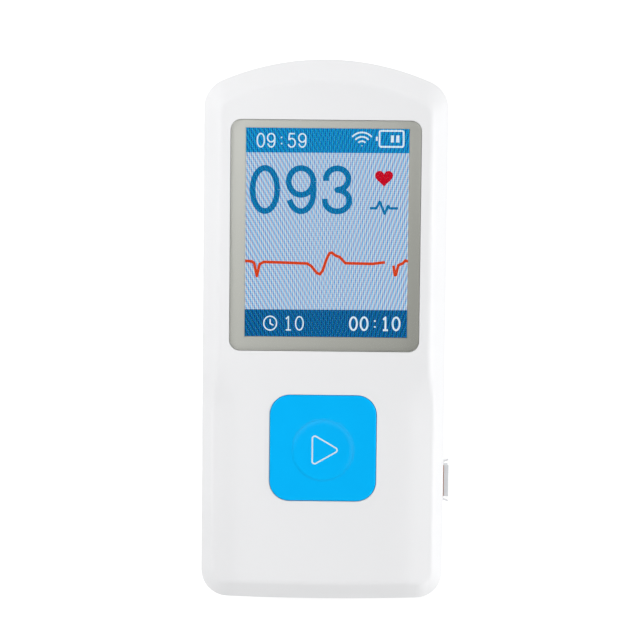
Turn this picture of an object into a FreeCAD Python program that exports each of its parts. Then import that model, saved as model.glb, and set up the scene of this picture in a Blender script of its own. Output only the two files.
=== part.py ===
import FreeCAD, Part
import math
import os

# Hand-held heart monitor with a colour display and one start key, lying on its back.
# Millimetres: +X is the right-hand side, +Y the arched end, +Z out of the display.
# The origin is the middle of the flat back.

# Housing, outside
LENGTH = 101.0
WIDTH = 45.3
DEPTH = 15.0
ARCH_RADIUS = 48.6
SHOULDER_RADIUS = 5.5
CORNER_RADIUS = 5.0
BOW_RADIUS = 500.0
BEVEL_HEIGHT = 4.0
BEVEL_SIDE = 3.0
BEVEL_ARCH = 4.1
BEVEL_FOOT = 4.2
FACE_ROUNDING = 1.4
BACK_ROUNDING = 3.0

# Grip end: the face sinks a little and its flanks fall away outside a soft crease
RAMP_FROM_FOOT = 47.5
RAMP_TOP = RAMP_FROM_FOOT - LENGTH / 2
RAMP_LENGTH = 11.0
FACE_DROP = 0.7
CREASE_LENGTH = 12.5
EDGE_CREASE = 0.6
GRIP_CREASE = 6.2
CREASE_SOFTNESS = 1.6
FLANK_SLOPE = 0.15

# Walls and the seam between the covers
WALL = 1.6
BEVEL_INNER_DROP = 0.6
SEAM_GROOVE = 0.3
LIP_WALL = 0.75
LIP_HEIGHT = 1.2
FIT = 0.05
BOSS_DIAMETER = 4.2
POST_DIAMETER = 5.6
SCREW_DIAMETER = 2.0
SCREW_HEAD_DIAMETER = 3.8
SCREW_HEAD_SINK = 1.8
PILOT_DEPTH = 3.9
PILOT_CLEARANCE = 0.1
SHANK_CLEARANCE = 0.2
HEAD_CLEARANCE = 0.4
HIGH_SCREW_SIDE = 8.5
HIGH_SCREW_END = 7.4
LOW_SCREW_SIDE = 6.5
LOW_SCREW_END = 8.2

# Window over the display, set in from the housing's sides and ends
LENS_SIDE_MARGIN = 5.1
LENS_END_MARGIN = 11.25
LENS_FOOT_MARGIN = 47.128
LENS_LENGTH = LENGTH - LENS_END_MARGIN - LENS_FOOT_MARGIN
LENS_WIDTH = WIDTH - 2 * LENS_SIDE_MARGIN
LENS_Y = LENGTH / 2 - LENS_END_MARGIN - LENS_LENGTH / 2
LENS_RADIUS = 2.0
LENS_THICKNESS = 0.8
LENS_SINK = 0.1
LENS_GAP = 0.1
LENS_CHAMFER = 0.12
PRINT_SIDE = 2.5
PRINT_END = 2.05
VIEW_WIDTH = LENS_WIDTH - 2 * PRINT_SIDE
VIEW_LENGTH = LENS_LENGTH - 2 * PRINT_END
VIEW_X = 0.3
VIEW_Y = LENS_Y + 0.55
PRINT_THICKNESS = 0.1
PRINT_INSET = 0.1
TAPE_THICKNESS = 0.15
TAPE_INSET = 0.2
SHELF_THICKNESS = 1.0
SHELF_MARGIN = 1.2
SHELF_SETBACK = 0.9
TAPE_SETBACK = 1.1
GASKET_SETBACK = 1.0
GASKET_WIDTH = 1.0
GASKET_THICKNESS = 0.3

# Display module and what carries it
MODULE_SIDE_RIM = 2.25
MODULE_TOP_RIM = 2.2
MODULE_FOOT_RIM = 4.9
MODULE_WIDTH = VIEW_WIDTH + 2 * MODULE_SIDE_RIM
MODULE_LENGTH = VIEW_LENGTH + MODULE_TOP_RIM + MODULE_FOOT_RIM
MODULE_THICKNESS = 2.0
PANEL_THICKNESS = 1.1
PANEL_RIM = 0.9
BRACKET_HEIGHT = 1.4
BRACKET_RAIL = 1.5
BOARD_THICKNESS = 1.0
BOARD_INSET = 2.9
BOARD_HOLE_CLEARANCE = 0.3
CABLE_WIDTH = 12.0
CABLE_THICKNESS = 0.15
CABLE_REACH = 3.2
CABLE_BEND = 0.4
CABLE_ENTRY = 1.2
CABLE_SLOT_HEIGHT = 0.35
CABLE_SOCKET_LENGTH = 3.0
CABLE_SOCKET_HEIGHT = 1.0

# Start key and the switch under it
KEY_SIZE = 19.8
KEY_RADIUS = 3.7
KEY_FROM_FOOT = 28.987
KEY_Y = KEY_FROM_FOOT - LENGTH / 2
KEY_PROUD = 0.2
KEY_CLEARANCE = 0.08
KEY_ROUNDING = 0.35
KEY_SKIN = 1.4
KEY_WALL = 1.3
KEY_FLANGE = 1.3
KEY_FLANGE_THICKNESS = 0.8
WELL_GAP = 0.2
WELL_WALL = 1.0
WELL_DEPTH = 2.2
KEY_TRAVEL = 0.3
DISH_DIAMETER = 11.4
DISH_DEPTH = 0.25
DISH_SHIFT = 0.35
SWITCH_SIZE = 6.0
SWITCH_COVER = 0.3
SWITCH_FLOOR = 0.6
PLUNGER_DIAMETER = 3.5
PLUNGER_COLLAR = 0.45
PLUNGER_CLEARANCE = 0.2
PLUNGER_PROUD = 0.5
PIP_LENGTH = 0.25

# Charging socket
SOCKET_WIDTH = 7.5
SOCKET_HEIGHT = 2.5
SOCKET_LENGTH = 5.2
SOCKET_SHEET = 0.25
SOCKET_FROM_FOOT = 22.22
SOCKET_Y = SOCKET_FROM_FOOT - LENGTH / 2
SOCKET_PROUD = 1.15
SOCKET_GAP = 0.15
SOCKET_SLANT = 0.9
SOCKET_REACH = 0.27
LIP_START = WIDTH / 2 + SOCKET_REACH
LIP_LENGTH = 5.95
LIP_FLARE = 0.3
TONGUE_LENGTH = 3.4
TONGUE_WIDTH = 3.7
TONGUE_THICKNESS = 0.6
TONGUE_DROP = 0.55
TONGUE_PLUG = 1.0
CONTACT_PITCH = 0.65
CONTACT_WIDTH = 0.36
CONTACT_THICKNESS = 0.1
CONTACT_SETBACK = 0.6
SOCKET_TAPE_THICKNESS = 0.1
SEAM_ABOVE_SOCKET = 0.15

# Finger electrodes and the one in the back
ELECTRODE_LENGTH = 24.24
ELECTRODE_FROM_FOOT = 58.58
ELECTRODE_Y = ELECTRODE_FROM_FOOT - LENGTH / 2
ELECTRODE_RADIUS = 1.5
ELECTRODE_FLANGE = 0.5
ELECTRODE_SHEET = 0.6
ELECTRODE_CLEARANCE = 0.35
SPRING_SHEET = 0.2
SPRING_WIDTH = 3.0
SPRING_FOOT = 1.9
SPRING_SETBACK = 0.35
SPRING_RISE = 0.35
SPRING_TIP = 0.25
BACK_ELECTRODE_MARGIN = 7.5
BACK_ELECTRODE_LENGTH = 12.0
BACK_ELECTRODE_END = 13.0
BACK_ELECTRODE_WIDTH = WIDTH - 2 * BACK_ELECTRODE_MARGIN
BACK_ELECTRODE_Y = LENGTH / 2 - BACK_ELECTRODE_END - BACK_ELECTRODE_LENGTH / 2
BACK_ELECTRODE_SHEET = 0.8
STUD_DIAMETER = 4.0
STUD_PROUD = 0.6
PIN_DIAMETER = 2.2
PIN_TIP = 1.3

# Battery, its plug and its leads
BATTERY_MARGIN = 7.5
BATTERY_WIDTH = WIDTH - 2 * BATTERY_MARGIN
BATTERY_END_MARGIN = 30.3
BATTERY_LENGTH = LENGTH - 2 * BATTERY_END_MARGIN
BATTERY_Y = 0.0
BATTERY_PAD = 0.3
BATTERY_PAD_MARGIN = 2.0
BATTERY_HEADROOM = 1.7
BATTERY_GAP = 0.2
BATTERY_ROUNDING = 0.9
RIB_THICKNESS = 0.8
RIB_HEIGHT = 1.4
LEAD_DIAMETER = 1.0
LEAD_RUN = 9.0
LEAD_ABOVE_RIB = 0.675
LEAD_SAG = 1.2
LEAD_SHIFT = 2.0
PLUG_WIDTH = 6.0
PLUG_LENGTH = 5.0
PLUG_HEIGHT = 3.2
PLUG_INSET = 13.0
PLUG_SLOT_WIDTH = 1.0
PLUG_SLOT_DEPTH = 0.8

# Chips and the radio on the board
CHIP_HEIGHT = 0.9
CHIP_EDGE = 0.15
PROCESSOR_SIZE = 9.0
AMPLIFIER_SIZE = 6.0
CHARGE_CHIP_SIZE = 4.0
RADIO_WIDTH = 14.0
RADIO_LENGTH = 8.4
RADIO_THICKNESS = 0.6
RADIO_INSET = 9.6
CAN_WIDTH = 9.0
CAN_HEIGHT = 1.4
CAN_SHEET = 0.2
CAN_MARGIN = 0.5
CAN_EDGE = 0.7

# Heights that follow from the ones above
LENS_TOP = DEPTH - LENS_SINK
LENS_LOW = LENS_TOP - LENS_THICKNESS
PRINT_LOW = LENS_LOW - PRINT_THICKNESS
SHELF_TOP = PRINT_LOW - TAPE_THICKNESS
SHELF_LOW = SHELF_TOP - SHELF_THICKNESS
MODULE_TOP = SHELF_LOW - GASKET_THICKNESS
MODULE_LOW = MODULE_TOP - MODULE_THICKNESS
BOARD_TOP = MODULE_LOW - BRACKET_HEIGHT
BOARD_LOW = BOARD_TOP - BOARD_THICKNESS
SOCKET_MIDDLE = BOARD_LOW - SOCKET_HEIGHT / 2
SEAM = SOCKET_MIDDLE + SEAM_ABOVE_SOCKET
KEY_TOP = DEPTH - FACE_DROP + KEY_PROUD
KEY_CEILING = DEPTH - FACE_DROP - WALL
KEY_HOLLOW_TOP = KEY_TOP - KEY_SKIN
PLUNGER_TOP = KEY_HOLLOW_TOP - PIP_LENGTH
SWITCH_TOP = PLUNGER_TOP - KEY_TRAVEL - PLUNGER_PROUD
SWITCH_BASE_TOP = SWITCH_TOP - SWITCH_COVER
BATTERY_LOW = WALL + BATTERY_PAD
BATTERY_TOP = BOARD_LOW - BATTERY_HEADROOM

# Places that follow from the ones above
MODULE_Y = VIEW_Y + VIEW_LENGTH / 2 + MODULE_TOP_RIM - MODULE_LENGTH / 2
MODULE_FOOT = MODULE_Y - MODULE_LENGTH / 2
CABLE_SOCKET_FACE = MODULE_FOOT - CABLE_REACH
BATTERY_FOOT = BATTERY_Y - BATTERY_LENGTH / 2
PLUG_FACE = BATTERY_FOOT - LEAD_RUN
PLUG_X = -WIDTH / 2 + PLUG_INSET
RADIO_Y = -LENGTH / 2 + RADIO_INSET
BOARD_EDGE = WIDTH / 2 - BOARD_INSET
SOCKET_BACK = LIP_START - SOCKET_LENGTH
TONGUE_TOP = SOCKET_MIDDLE + SOCKET_HEIGHT / 2 - SOCKET_SHEET - TONGUE_DROP
ELECTRODE_LOW = BACK_ROUNDING + ELECTRODE_FLANGE + FIT
ELECTRODE_HIGH = DEPTH - BEVEL_HEIGHT - BEVEL_INNER_DROP - ELECTRODE_FLANGE - ELECTRODE_CLEARANCE
ELECTRODE_HEIGHT = ELECTRODE_HIGH - ELECTRODE_LOW
ELECTRODE_Z = (ELECTRODE_HIGH + ELECTRODE_LOW) / 2
ELECTRODE_INNER = WIDTH / 2 - WALL - ELECTRODE_SHEET
STUD_TOP = WALL + STUD_PROUD


def vec(x, y, z=0.0):
    return FreeCAD.Vector(x, y, z)


def box(width, length, height, x, y, z):
    """A block centred on x, y with its lowest face at z."""
    return Part.makeBox(width, length, height, vec(x - width / 2, y - length / 2, z))


def rounded_wire(width, length, radius, x, y, z):
    """A rectangle with round corners, as a closed wire at height z."""
    arcs = []
    for quarter, (side_x, side_y) in enumerate([(1, 1), (-1, 1), (-1, -1), (1, -1)]):
        centre = vec(x + side_x * (width / 2 - radius), y + side_y * (length / 2 - radius), z)
        turns = [math.radians(90 * quarter + step) for step in (0, 45, 90)]
        arcs.append([centre + vec(radius * math.cos(turn), radius * math.sin(turn)) for turn in turns])
    edges = []
    for arc, following in zip(arcs, arcs[1:] + arcs[:1]):
        edges.append(Part.Arc(arc[0], arc[1], arc[2]).toShape())
        edges.append(Part.makeLine(arc[2], following[0]))
    return Part.Wire(edges)


def rounded_block(width, length, radius, low, high, x=0.0, y=0.0):
    """A block with upright round corners, between two heights."""
    return Part.Face(rounded_wire(width, length, radius, x, y, low)).extrude(vec(0, 0, high - low))


def cylinder(diameter, low, high, x, y):
    return Part.makeCylinder(diameter / 2, high - low, vec(x, y, low))


def extruded(points, direction):
    """A flat outline given by its corners, pulled along a direction."""
    return Part.Face(Part.makePolygon(points + points[:1])).extrude(direction)


def outline(z, inset=0.0, rise=0.0):
    """The housing seen from the front: arched end, soft shoulders, straight sides, nearly straight foot.

    inset moves it inward all round.
    rise follows the bevel: 0 at the bevel's foot, 1 at its edge."""
    half = WIDTH / 2 - inset - BEVEL_SIDE * rise
    top = LENGTH / 2 - inset - BEVEL_ARCH * rise
    foot = -LENGTH / 2 + inset + BEVEL_FOOT * rise
    arch = ARCH_RADIUS - inset - BEVEL_ARCH * rise
    shoulder = max(SHOULDER_RADIUS - inset - BEVEL_SIDE * rise, 0.8)
    corner = max(CORNER_RADIUS - inset - BEVEL_SIDE * rise, 0.8)
    arch_y = top - arch
    bow_y = foot + BOW_RADIUS
    shoulder_x = half - shoulder
    shoulder_y = arch_y + math.sqrt((arch - shoulder) ** 2 - shoulder_x ** 2)
    corner_x = half - corner
    corner_y = bow_y - math.sqrt((BOW_RADIUS - corner) ** 2 - corner_x ** 2)
    shoulder_turn = math.atan2(shoulder_y - arch_y, shoulder_x)
    corner_turn = math.atan2(corner_y - bow_y, corner_x)

    def arc(x, y, radius, turn, side):
        return vec(side * (x + radius * math.cos(turn)), y + radius * math.sin(turn), z)

    low, high = vec(half, corner_y, z), vec(half, shoulder_y, z)
    far_low, far_high = vec(-half, corner_y, z), vec(-half, shoulder_y, z)
    arch_ends = [arc(0, arch_y, arch, shoulder_turn, side) for side in (1, -1)]
    bow_ends = [arc(0, bow_y, BOW_RADIUS, corner_turn, side) for side in (1, -1)]
    shoulders = [arc(shoulder_x, shoulder_y, shoulder, shoulder_turn / 2, side) for side in (1, -1)]
    corners = [arc(corner_x, corner_y, corner, corner_turn / 2, side) for side in (1, -1)]
    return Part.Wire([
        Part.makeLine(low, high),
        Part.Arc(high, shoulders[0], arch_ends[0]).toShape(),
        Part.Arc(arch_ends[0], vec(0, top, z), arch_ends[1]).toShape(),
        Part.Arc(arch_ends[1], shoulders[1], far_high).toShape(),
        Part.makeLine(far_high, far_low),
        Part.Arc(far_low, corners[1], bow_ends[1]).toShape(),
        Part.Arc(bow_ends[1], vec(0, foot, z), bow_ends[0]).toShape(),
        Part.Arc(bow_ends[0], corners[0], low).toShape(),
    ])


def slab(low, high, inset):
    """A slice of the housing's plan between two heights."""
    return Part.Face(outline(low, inset)).extrude(vec(0, 0, high - low))


def ring(low, high, outer_inset, inner_inset):
    return slab(low, high, outer_inset).cut(slab(low, high, inner_inset))


def ease(share):
    """0 to 1 with a level start and end."""
    share = min(max(share, 0.0), 1.0)
    return share * share * (3 - 2 * share)


def spread(share):
    """-1 to 1, with points that are given evenly gathered toward the middle."""
    return 0.3 * share + 0.7 * share ** 3


def face_row(y):
    """One line of the front face across the housing: level, then a soft crease and a falling flank."""
    level = DEPTH - FACE_DROP * ease((RAMP_TOP - y) / RAMP_LENGTH)
    crease = WIDTH / 2 - EDGE_CREASE - (GRIP_CREASE - EDGE_CREASE) * ease((RAMP_TOP - y) / CREASE_LENGTH)
    soft = CREASE_SOFTNESS
    beyond = WIDTH / 2 + 7.5 - crease
    across = [crease + crease * spread(step / 8) for step in range(-8, 0)]
    across += [crease + beyond * spread(step / 7) for step in range(8)]

    def height(x):
        past = x - crease
        if past <= -soft:
            return level
        if past >= soft:
            return level - FLANK_SLOPE * past
        return level - FLANK_SLOPE * (past + soft) ** 2 / (4 * soft)

    right = [vec(x, y, height(x)) for x in across]
    left = [vec(-p.x, p.y, p.z) for p in reversed(right[1:])]
    return left + right


def face_skin():
    """The front face as one smooth surface: level round the display, a ramp, and the creased grip end."""
    middle = RAMP_TOP - CREASE_LENGTH / 2
    reach = LENGTH / 2 + 12 + abs(middle)
    rows = [middle + reach * spread(step / 10) for step in range(-10, 11)]
    surface = Part.BSplineSurface()
    surface.interpolate([face_row(y) for y in rows])
    return surface.toShape()


def bevelled(inset, low, bevel_start):
    """Upright sides with a steep bevel above them that leans in further at the arched end."""
    over = 1.25
    wires = [outline(bevel_start, inset), outline(bevel_start + BEVEL_HEIGHT * over, inset, over)]
    return slab(low, bevel_start, inset).fuse(Part.makeLoft(wires, True, True))


def rounded_end(wire_at, radius, start, direction, bands):
    """The rounded end of a block: narrow bands from full size at start to radius further on and in.

    wire_at(z, inset) gives the block's outline."""
    wires = []
    for band in range(bands + 1):
        turn = math.pi / 2 * band / bands
        wires.append(wire_at(start + direction * radius * math.sin(turn), radius * (1 - math.cos(turn))))
    return Part.makeLoft(wires, True, True)


def lowest_edges(shape):
    low = shape.BoundBox.ZMin
    return [edge for edge in shape.Edges if edge.BoundBox.ZMax < low + 0.01]


def skin_edges(shape):
    """The edges round the smooth front face."""
    faces = [f for f in shape.Faces if f.Surface.TypeId == "Part::GeomBSplineSurface"]
    return max(faces, key=lambda f: f.Area).OuterWire.Edges


def front_form():
    """Everything outside above the seam, as a solid block."""
    body = bevelled(0.0, SEAM, DEPTH - BEVEL_HEIGHT).common(face_skin().extrude(vec(0, 0, -3 * DEPTH)))
    return body.makeFillet(FACE_ROUNDING, skin_edges(body))


def front_hollow():
    """The space inside: the same walls moved in, under a ceiling that steps down with the face."""
    side = LENGTH
    ceiling = [(-side, 0), (-side, KEY_CEILING), (RAMP_TOP - RAMP_LENGTH, KEY_CEILING),
               (RAMP_TOP, DEPTH - WALL), (side, DEPTH - WALL), (side, 0)]
    under = extruded([vec(-side, y, z) for y, z in ceiling], vec(2 * side, 0, 0))
    return bevelled(WALL, SEAM - 1, DEPTH - BEVEL_HEIGHT - BEVEL_INNER_DROP).common(under)


def back_form():
    return slab(BACK_ROUNDING, SEAM, 0).fuse(rounded_end(outline, BACK_ROUNDING, BACK_ROUNDING, -1, 4))


def back_hollow():
    hollow = slab(WALL, SEAM + 1, WALL)
    return hollow.makeChamfer(BACK_ROUNDING - WALL, lowest_edges(hollow))


def screw_places():
    high_x, high_y = WIDTH / 2 - HIGH_SCREW_SIDE, LENGTH / 2 - HIGH_SCREW_END
    low_x, low_y = WIDTH / 2 - LOW_SCREW_SIDE, LOW_SCREW_END - LENGTH / 2
    return [(high_x, high_y), (-high_x, high_y), (low_x, low_y), (-low_x, low_y)]


def electrode_window(side):
    """The opening in a side wall that an electrode fills."""
    plate = rounded_block(ELECTRODE_HEIGHT, ELECTRODE_LENGTH, ELECTRODE_RADIUS, 0, WALL + 1)
    plate.rotate(vec(0, 0, 0), vec(0, 1, 0), 90)
    plate.translate(vec(WIDTH / 2 - WALL, ELECTRODE_Y, ELECTRODE_Z))
    return plate if side > 0 else plate.mirror(vec(0, 0, 0), vec(1, 0, 0))


def socket_opening():
    high, wide = SOCKET_HEIGHT + 2 * SOCKET_GAP, SOCKET_WIDTH + 2 * SOCKET_GAP
    hole = rounded_block(high, wide, 0.5, 0, WALL + 2)
    hole.rotate(vec(0, 0, 0), vec(0, 1, 0), 90)
    hole.translate(vec(WIDTH / 2 - WALL - 1, SOCKET_Y, SOCKET_MIDDLE))
    return hole


def wall_openings():
    return [electrode_window(1), electrode_window(-1), socket_opening()]


def key_well(body):
    """The ring on the inside of the wall that guides the key's flange, with a flat ceiling for it."""
    inner = KEY_SIZE + 2 * (KEY_FLANGE + WELL_GAP)
    outer = inner + 2 * WELL_WALL
    block = box(outer, outer, DEPTH, 0, KEY_Y, KEY_CEILING - WELL_DEPTH).common(body)
    return block.cut(box(inner, inner, KEY_CEILING, 0, KEY_Y, 0))


def lens_shelf(body):
    """The thick rim under the window that the lens is taped to and the display is pressed against."""
    width, length = LENS_WIDTH + 2 * SHELF_MARGIN, LENS_LENGTH + 2 * SHELF_MARGIN
    return box(width, length, DEPTH, 0, LENS_Y, SHELF_LOW).common(body)


def view_opening(low, high, margin):
    return box(VIEW_WIDTH + 2 * margin, VIEW_LENGTH + 2 * margin, high - low, VIEW_X, VIEW_Y, low)


def front_cover():
    body = front_form()
    cover = body.cut(front_hollow())
    cover = cover.cut(ring(SEAM, SEAM + LIP_HEIGHT + 0.2, WALL - LIP_WALL - FIT, WALL + 0.6))
    bosses = [cylinder(BOSS_DIAMETER, BOARD_TOP, DEPTH, x, y).common(body) for x, y in screw_places()]
    cover = cover.fuse(bosses + [key_well(body), lens_shelf(body)])
    seat = LENS_WIDTH + LENS_GAP, LENS_LENGTH + LENS_GAP
    window = rounded_block(*seat, LENS_RADIUS, SHELF_TOP, DEPTH + 1, 0, LENS_Y)
    hole = KEY_SIZE + 2 * KEY_CLEARANCE
    key_hole = rounded_block(hole, hole, KEY_RADIUS + KEY_CLEARANCE, KEY_CEILING - 1, DEPTH + 1, 0, KEY_Y)
    pilot, pilot_end = SCREW_DIAMETER + PILOT_CLEARANCE, BOARD_TOP + PILOT_DEPTH
    pilots = [cylinder(pilot, BOARD_TOP - 1, pilot_end, x, y) for x, y in screw_places()]
    cuts = [window, view_opening(SHELF_LOW - 1, DEPTH, SHELF_SETBACK), key_hole] + pilots
    return cover.cut(cuts + wall_openings()).removeSplitter()


def back_cover():
    body = back_form()
    cover = body.cut(back_hollow())
    cover = cover.cut(ring(SEAM - SEAM_GROOVE, SEAM + 1, -1.0, SEAM_GROOVE))
    posts = [cylinder(POST_DIAMETER, WALL / 2, BOARD_LOW, x, y) for x, y in screw_places()]
    ribs = [battery_rib(end) for end in (-1, 1)]
    cover = cover.fuse([ring(SEAM - 1, SEAM + LIP_HEIGHT, WALL - LIP_WALL, WALL)] + posts + ribs)
    cuts = wall_openings() + [back_electrode_plate(), back_electrode_stud()]
    for x, y in screw_places():
        cuts.append(cylinder(SCREW_DIAMETER + SHANK_CLEARANCE, -1, BOARD_LOW + 1, x, y))
        cuts.append(cylinder(SCREW_HEAD_DIAMETER + HEAD_CLEARANCE, -1, SCREW_HEAD_SINK, x, y))
    return cover.cut(cuts).removeSplitter()


def battery_rib(end):
    """A low wall across the floor at one end of the battery."""
    y = BATTERY_Y + end * (BATTERY_LENGTH / 2 + BATTERY_GAP + RIB_THICKNESS / 2)
    root = 0.75 * WALL
    return box(BATTERY_WIDTH * 0.6, RIB_THICKNESS, WALL + RIB_HEIGHT - root, 0, y, root)


def lens_sheet(low, high, inset):
    """A sheet of the window's outline, drawn in by inset."""
    width, length = LENS_WIDTH - 2 * inset, LENS_LENGTH - 2 * inset
    return rounded_block(width, length, LENS_RADIUS - LENS_GAP / 2 - inset, low, high, 0, LENS_Y)


def lens():
    blank = lens_sheet(LENS_LOW, LENS_TOP, 0.0)
    rim = [e for e in blank.Edges if e.BoundBox.ZMin > LENS_TOP - 0.01]
    return blank.makeChamfer(LENS_CHAMFER, rim)


def lens_print():
    """The opaque border printed under the lens."""
    return lens_sheet(PRINT_LOW, LENS_LOW, PRINT_INSET).cut(view_opening(PRINT_LOW - 1, LENS_LOW + 1, 0.0))


def lens_tape():
    opening = view_opening(SHELF_TOP - 1, PRINT_LOW + 1, TAPE_SETBACK)
    return lens_sheet(SHELF_TOP, PRINT_LOW, TAPE_INSET).cut(opening)


def display_gasket():
    sheet = view_opening(MODULE_TOP, SHELF_LOW, GASKET_SETBACK + GASKET_WIDTH)
    return sheet.cut(view_opening(MODULE_TOP - 1, SHELF_LOW + 1, GASKET_SETBACK))


def display_panel():
    width, length = MODULE_WIDTH - 2 * PANEL_RIM, MODULE_LENGTH - 2 * PANEL_RIM
    return box(width, length, PANEL_THICKNESS, VIEW_X, MODULE_Y, MODULE_TOP - PANEL_THICKNESS)


def backlight_frame():
    """The tray that holds the glass."""
    rim = PANEL_RIM - 0.05
    tray = box(MODULE_WIDTH, MODULE_LENGTH, MODULE_THICKNESS, VIEW_X, MODULE_Y, MODULE_LOW)
    return tray.cut(box(MODULE_WIDTH - 2 * rim, MODULE_LENGTH - 2 * rim, PANEL_THICKNESS,
                        VIEW_X, MODULE_Y, MODULE_TOP - PANEL_THICKNESS))


def display_bracket():
    """The moulded frame that carries the display above the board."""
    width, length = MODULE_WIDTH - 2 * BRACKET_RAIL, MODULE_LENGTH - 2 * BRACKET_RAIL
    frame = box(MODULE_WIDTH, MODULE_LENGTH, BRACKET_HEIGHT, VIEW_X, MODULE_Y, BOARD_TOP)
    inside = box(width, length, BRACKET_HEIGHT, VIEW_X, MODULE_Y, BOARD_TOP)
    tie = box(width, BRACKET_RAIL, BRACKET_HEIGHT, VIEW_X, MODULE_Y + 0.1 * MODULE_LENGTH, BOARD_TOP)
    return frame.cut(inside).fuse(tie).removeSplitter()


def strip(points, bend, thickness, width, middle):
    """A bent ribbon of sheet: its side view is a run of points in Y and Z with round bends."""
    path = [vec(0, y, z) for y, z in points]
    edges = []
    start = path[0]
    for before, corner, after in zip(path, path[1:], path[2:]):
        back, ahead = (before - corner).normalize(), (after - corner).normalize()
        half_angle = back.getAngle(ahead) / 2
        trim = bend / math.tan(half_angle)
        middle_way = (back + ahead).normalize()
        touch_in, touch_out = corner + back * trim, corner + ahead * trim
        crown = corner + middle_way * (bend / math.sin(half_angle) - bend)
        edges.append(Part.makeLine(start, touch_in))
        edges.append(Part.Arc(touch_in, crown, touch_out).toShape())
        start = touch_out
    edges.append(Part.makeLine(start, path[-1]))
    side = Part.Wire(edges).makeOffset2D(thickness, 0, True, True)
    solid = side.extrude(vec(width, 0, 0))
    solid.translate(vec(middle - width / 2, 0, 0))
    return solid


def cable_socket():
    """The low socket on the board that takes the display's ribbon cable."""
    middle = CABLE_SOCKET_FACE - CABLE_SOCKET_LENGTH / 2
    shell = box(CABLE_WIDTH + 2, CABLE_SOCKET_LENGTH, CABLE_SOCKET_HEIGHT, VIEW_X, middle, BOARD_TOP)
    slot_low = BOARD_TOP + CABLE_SLOT_HEIGHT
    slot = box(CABLE_WIDTH + 0.2, CABLE_ENTRY, 2 * CABLE_THICKNESS,
               VIEW_X, CABLE_SOCKET_FACE - CABLE_ENTRY / 2, slot_low)
    return shell.cut(slot)


def display_cable():
    """The ribbon cable from the display's foot down to its socket."""
    high, low = MODULE_LOW + 0.3, BOARD_TOP + CABLE_SLOT_HEIGHT + 0.05
    face, entry = CABLE_SOCKET_FACE, CABLE_ENTRY
    points = [(MODULE_FOOT, high), (MODULE_FOOT - 1.0, high), (face + entry, low), (face - entry, low)]
    return strip(points, CABLE_BEND, CABLE_THICKNESS, CABLE_WIDTH, VIEW_X)


def key_cap():
    """The key: a dished top, a hollow underside with a pip, and a flange that the housing holds back."""
    def plan(z, inset=0.0):
        size = KEY_SIZE - 2 * inset
        return rounded_wire(size, size, KEY_RADIUS - inset, 0, KEY_Y, z)

    shoulder = KEY_TOP - KEY_ROUNDING
    flange_low = KEY_CEILING - KEY_FLANGE_THICKNESS
    cap = Part.Face(plan(flange_low)).extrude(vec(0, 0, shoulder - flange_low))
    cap = cap.fuse(rounded_end(plan, KEY_ROUNDING, shoulder, 1, 3))
    flange_size = KEY_SIZE + 2 * KEY_FLANGE
    flange = box(flange_size, flange_size, KEY_FLANGE_THICKNESS, 0, KEY_Y, flange_low)
    hollow_size = KEY_SIZE - 2 * KEY_WALL
    hollow = rounded_block(hollow_size, hollow_size, KEY_RADIUS - KEY_WALL, 0, KEY_HOLLOW_TOP, 0, KEY_Y)
    pip = cylinder(PLUNGER_DIAMETER, PLUNGER_TOP, KEY_HOLLOW_TOP + 0.2, 0, KEY_Y)
    ball = (DISH_DIAMETER ** 2 / 4 + DISH_DEPTH ** 2) / (2 * DISH_DEPTH)
    dish = Part.makeSphere(ball, vec(0, KEY_Y - DISH_SHIFT, KEY_TOP - DISH_DEPTH + ball), vec(1, 0, 0))
    return cap.fuse(flange).cut(hollow).cut(dish).fuse(pip).removeSplitter()


def switch_base():
    bore = PLUNGER_DIAMETER + 2 * PLUNGER_COLLAR + PLUNGER_CLEARANCE
    base = box(SWITCH_SIZE, SWITCH_SIZE, SWITCH_BASE_TOP - BOARD_TOP, 0, KEY_Y, BOARD_TOP)
    return base.cut(cylinder(bore, BOARD_TOP + SWITCH_FLOOR, SWITCH_BASE_TOP + 1, 0, KEY_Y))


def switch_cover():
    """The metal plate that is folded down over two sides of the switch."""
    plate = box(SWITCH_SIZE, SWITCH_SIZE + 2 * SWITCH_COVER, SWITCH_COVER, 0, KEY_Y, SWITCH_BASE_TOP)
    leg_y = (SWITCH_SIZE + SWITCH_COVER) / 2
    leg_low = BOARD_TOP + SWITCH_FLOOR
    legs = [box(0.6 * SWITCH_SIZE, SWITCH_COVER, SWITCH_TOP - leg_low, 0, KEY_Y + end * leg_y, leg_low)
            for end in (-1, 1)]
    hole = cylinder(PLUNGER_DIAMETER + PLUNGER_CLEARANCE, BOARD_TOP, SWITCH_TOP + 1, 0, KEY_Y)
    return plate.fuse(legs).cut(hole).removeSplitter()


def switch_plunger():
    """The button of the switch, held in by a collar under the metal plate."""
    foot = BOARD_TOP + SWITCH_FLOOR + KEY_TRAVEL + 0.02
    stem = cylinder(PLUNGER_DIAMETER, foot, PLUNGER_TOP, 0, KEY_Y)
    collar = cylinder(PLUNGER_DIAMETER + 2 * PLUNGER_COLLAR, foot, SWITCH_BASE_TOP, 0, KEY_Y)
    return stem.fuse(collar).removeSplitter()


def main_board():
    """The circuit board, shaped like the housing, with a hole at each case screw."""
    board = slab(BOARD_LOW, BOARD_TOP, BOARD_INSET)
    hole = SCREW_DIAMETER + BOARD_HOLE_CLEARANCE
    holes = [cylinder(hole, BOARD_LOW - 1, BOARD_TOP + 1, x, y) for x, y in screw_places()]
    return board.cut(holes)


def highest_edges(shape):
    high = shape.BoundBox.ZMax
    return [edge for edge in shape.Edges if edge.BoundBox.ZMin > high - 0.01]


def chip(size, across, along):
    """A flat square chip on top of the board, placed by shares of the display module above it."""
    x, y = VIEW_X + across * MODULE_WIDTH, MODULE_Y + along * MODULE_LENGTH
    body = box(size, size, CHIP_HEIGHT, x, y, BOARD_TOP)
    return body.makeChamfer(CHIP_EDGE, highest_edges(body))


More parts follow.
